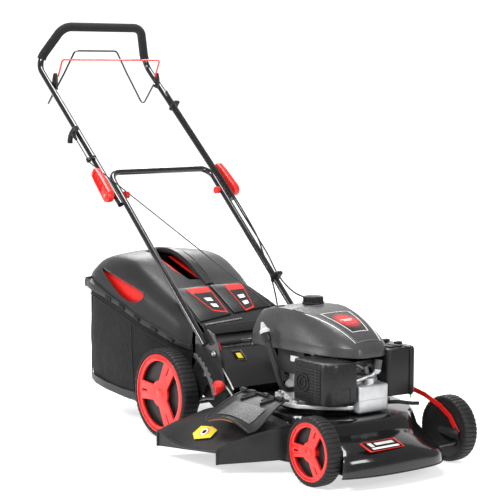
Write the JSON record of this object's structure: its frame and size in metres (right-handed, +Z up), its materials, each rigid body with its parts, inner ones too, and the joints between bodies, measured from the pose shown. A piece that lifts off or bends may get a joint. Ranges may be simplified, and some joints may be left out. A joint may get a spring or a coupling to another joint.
{
  "type": "push lawn mower",
  "caption": "Petrol push mower with a steel deck, two sizes of wheel, a folding tubular handle with two bails, a side chute and a rear grass bag",
  "frame": {"origin": "on the ground under the middle of the machine's box", "axes": "+Z is up, -Y is the way the machine is pushed, -X is the operator's right, where the grass comes out"},
  "size_m": [0.6314, 1.5768, 1.2022],
  "materials": {
    "deck_paint": "gloss black",
    "tube_paint": "gloss black powder coat",
    "black_plastic": "satin black moulding",
    "cover_plastic": "satin dark grey moulding",
    "guard_paint": "satin black",
    "red_plastic": "bright red moulding",
    "red_paint": "bright red",
    "alloy": "cast and machined",
    "steel": "plain, lightly plated",
    "tyre_rubber": "matt black",
    "grip_foam": "closed-cell foam",
    "cord_black": "sheathed cable and cord",
    "bag_fabric": "coated woven fabric"
  },
  "bodies": {
    "chassis": {"deck_shell": "deck_paint", "rear_tunnel": "deck_paint", "handle_bracket_right": "deck_paint", "handle_bracket_left": "deck_paint", "engine_block": "alloy", "cylinder_head": "alloy", "carburetor": "black_plastic", "muffler": "steel", "muffler_guard": "guard_paint", "air_filter_case": "black_plastic", "engine_cover": "cover_plastic", "fuel_tank": "black_plastic", "dipstick_tube": "black_plastic", "drive_belt": "tyre_rubber", "height_quadrant": "deck_paint", "lower_handle": "tube_paint", "starter_rope": "cord_black", "brake_cable": "cord_black", "drive_cable": "cord_black", "flap_rod": "steel", "discharge_chute": "black_plastic"},
    "cutter": {"crankshaft": "steel", "blade_holder": "steel", "blade": "steel"},
    "recoil_reel": {"starter_reel": "black_plastic"},
    "rear_height": {"rear_axle_frame": "deck_paint", "rear_drive_axle": "steel", "gearbox": "alloy"},
    "drive_pulley": {"gearbox_pulley": "steel"},
    "front_height": {"front_axle_frame": "deck_paint"},
    "link": {"height_link": "red_paint"},
    "lever": {"height_lever": "deck_paint", "height_knob": "red_plastic"},
    "wheel_front_right": {"rim_front_right": "red_plastic", "tyre_front_right": "tyre_rubber"},
    "wheel_front_left": {"rim_front_left": "red_plastic", "tyre_front_left": "tyre_rubber"},
    "wheel_rear_right": {"rim_rear_right": "red_plastic", "tyre_rear_right": "tyre_rubber"},
    "wheel_rear_left": {"rim_rear_left": "red_plastic", "tyre_rear_left": "tyre_rubber"},
    "upper_frame": {"upper_handle": "tube_paint", "foam_grip": "grip_foam", "clamp_bolt_right": "red_plastic", "clamp_bolt_left": "red_plastic", "bail_bracket_right": "black_plastic", "bail_bracket_left": "black_plastic", "rope_guide": "black_plastic"},
    "clamp_lever_right": {"cam_lever_right": "red_plastic"},
    "clamp_lever_left": {"cam_lever_left": "red_plastic"},
    "brake_lever": {"brake_bail": "tube_paint"},
    "drive_lever": {"drive_bail": "red_paint"},
    "pull_grip": {"starter_grip": "black_plastic"},
    "filler_cap": {"fuel_cap": "black_plastic"},
    "oil_cap": {"dipstick_cap": "alloy"},
    "filter_lid": {"air_filter_lid": "black_plastic"},
    "flap_rear": {"rear_flap": "black_plastic"},
    "flap_side": {"side_flap": "black_plastic"},
    "grass_bag": {"bag_top": "cover_plastic", "bag_body": "bag_fabric"}
  },
  "joints": [
    {"name": "crank_spin", "type": "hinge", "parent": "chassis", "child": "cutter", "pos_m": [0.0569, -0.40108, 0.1], "axis": [0, 0, 1], "continuous": true},
    {"name": "rear_height", "type": "hinge", "parent": "chassis", "child": "rear_height", "pos_m": [0.0569, -0.02228, 0.1046], "axis": [-1, 0, 0], "range_deg": [0, 46], "deforming": ["drive_belt", "drive_cable"]},
    {"name": "front_height", "type": "hinge", "parent": "chassis", "child": "front_height", "pos_m": [0.0569, -0.71088, 0.0646], "axis": [-1, 0, 0], "range_deg": [0, 46]},
    {"name": "link_turn", "type": "hinge", "parent": "front_height", "child": "link", "pos_m": [0.0569, -0.70788, 0.0956], "axis": [1, 0, 0], "range_deg": [0, 46]},
    {"name": "lever_release", "type": "hinge", "parent": "rear_height", "child": "lever", "pos_m": [-0.1307, -0.03608, 0.115], "axis": [0, 0, -1], "range_deg": [0, 4.5], "stiffness_Nm_per_rad": 20, "springref_deg": -1.15},
    {"name": "drive_pulley_spin", "type": "hinge", "parent": "rear_height", "child": "drive_pulley", "pos_m": [0.1969, 0.01692, 0.154], "axis": [0, 0, 1], "continuous": true},
    {"name": "wheel_front_right_spin", "type": "hinge", "parent": "front_height", "child": "wheel_front_right", "pos_m": [0.0569, -0.65108, 0.09], "axis": [1, 0, 0], "continuous": true},
    {"name": "wheel_front_left_spin", "type": "hinge", "parent": "front_height", "child": "wheel_front_left", "pos_m": [0.0569, -0.65108, 0.09], "axis": [1, 0, 0], "continuous": true},
    {"name": "wheel_rear_right_spin", "type": "hinge", "parent": "rear_height", "child": "wheel_rear_right", "pos_m": [0.0569, 0.03752, 0.13], "axis": [1, 0, 0], "continuous": true},
    {"name": "wheel_rear_left_spin", "type": "hinge", "parent": "rear_height", "child": "wheel_rear_left", "pos_m": [0.0569, 0.03752, 0.13], "axis": [1, 0, 0], "continuous": true},
    {"name": "handle_fold", "type": "hinge", "parent": "chassis", "child": "upper_frame", "pos_m": [0.0569, 0.32842, 0.681], "axis": [1, 0, 0], "range_deg": [0, 145], "deforming": ["starter_rope", "brake_cable", "drive_cable"]},
    {"name": "clamp_right", "type": "hinge", "parent": "upper_frame", "child": "clamp_lever_right", "pos_m": [-0.1731, 0.32842, 0.681], "axis": [0, -0.6484, 0.7613], "range_deg": [0, 110]},
    {"name": "clamp_left", "type": "hinge", "parent": "upper_frame", "child": "clamp_lever_left", "pos_m": [0.2869, 0.32842, 0.681], "axis": [0, 0.6484, -0.7613], "range_deg": [0, 110]},
    {"name": "brake_bail_turn", "type": "hinge", "parent": "upper_frame", "child": "brake_lever", "pos_m": [0.0569, 0.69992, 1.008], "axis": [1, 0, 0], "range_deg": [0, 27], "stiffness_Nm_per_rad": 2, "springref_deg": -17.19},
    {"name": "drive_bail_turn", "type": "hinge", "parent": "upper_frame", "child": "drive_lever", "pos_m": [0.0569, 0.69592, 1.03], "axis": [-1, 0, 0], "range_deg": [0, 33], "stiffness_Nm_per_rad": 1, "springref_deg": -17.19},
    {"name": "starter_pull", "type": "slide", "parent": "upper_frame", "child": "pull_grip", "axis": [0, 0.7613, 0.6484], "range_m": [0, 0.5], "stiffness_N_per_m": 15, "springref_m": -0.2},
    {"name": "reel_turn", "type": "hinge", "parent": "chassis", "child": "recoil_reel", "pos_m": [0.0569, -0.40108, 0.35], "axis": [0, 0, 1], "range_deg": [0, 720]},
    {"name": "fuel_cap_turn", "type": "hinge", "parent": "chassis", "child": "filler_cap", "pos_m": [0.0769, -0.32908, 0.41], "axis": [0, 0, 1], "range_deg": [0, 90]},
    {"name": "oil_cap_turn", "type": "hinge", "parent": "chassis", "child": "oil_cap", "pos_m": [-0.0841, -0.32108, 0.366], "axis": [-0.0161, 0.3971, 0.9176], "range_deg": [0, 90]},
    {"name": "filter_lid_turn", "type": "hinge", "parent": "chassis", "child": "filter_lid", "pos_m": [0.1947, -0.53358, 0.183], "axis": [0, 1, 0], "range_deg": [0, 50]},
    {"name": "rear_flap_turn", "type": "hinge", "parent": "chassis", "child": "flap_rear", "pos_m": [0.0569, -0.10308, 0.284], "axis": [1, 0, 0], "range_deg": [0, 80], "stiffness_Nm_per_rad": 0.3, "springref_deg": -28.65, "deforming": ["starter_rope"]},
    {"name": "side_flap_turn", "type": "hinge", "parent": "chassis", "child": "flap_side", "pos_m": [-0.1461, -0.39608, 0.1915], "axis": [0, 1, 0], "range_deg": [0, 70], "stiffness_Nm_per_rad": 0.15, "springref_deg": -28.65},
    {"name": "bag_slide", "type": "slide", "parent": "chassis", "child": "grass_bag", "axis": [0, 1, 0], "range_m": [0, 0.35]}
  ],
  "couplings": [
    {"joint": "front_height", "follows": "rear_height", "ratio": 1},
    {"joint": "link_turn", "follows": "rear_height", "ratio": 1},
    {"joint": "drive_pulley_spin", "follows": "crank_spin", "ratio": 1},
    {"joint": "reel_turn", "follows": "starter_pull", "rad_per_m": 25}
  ]
}
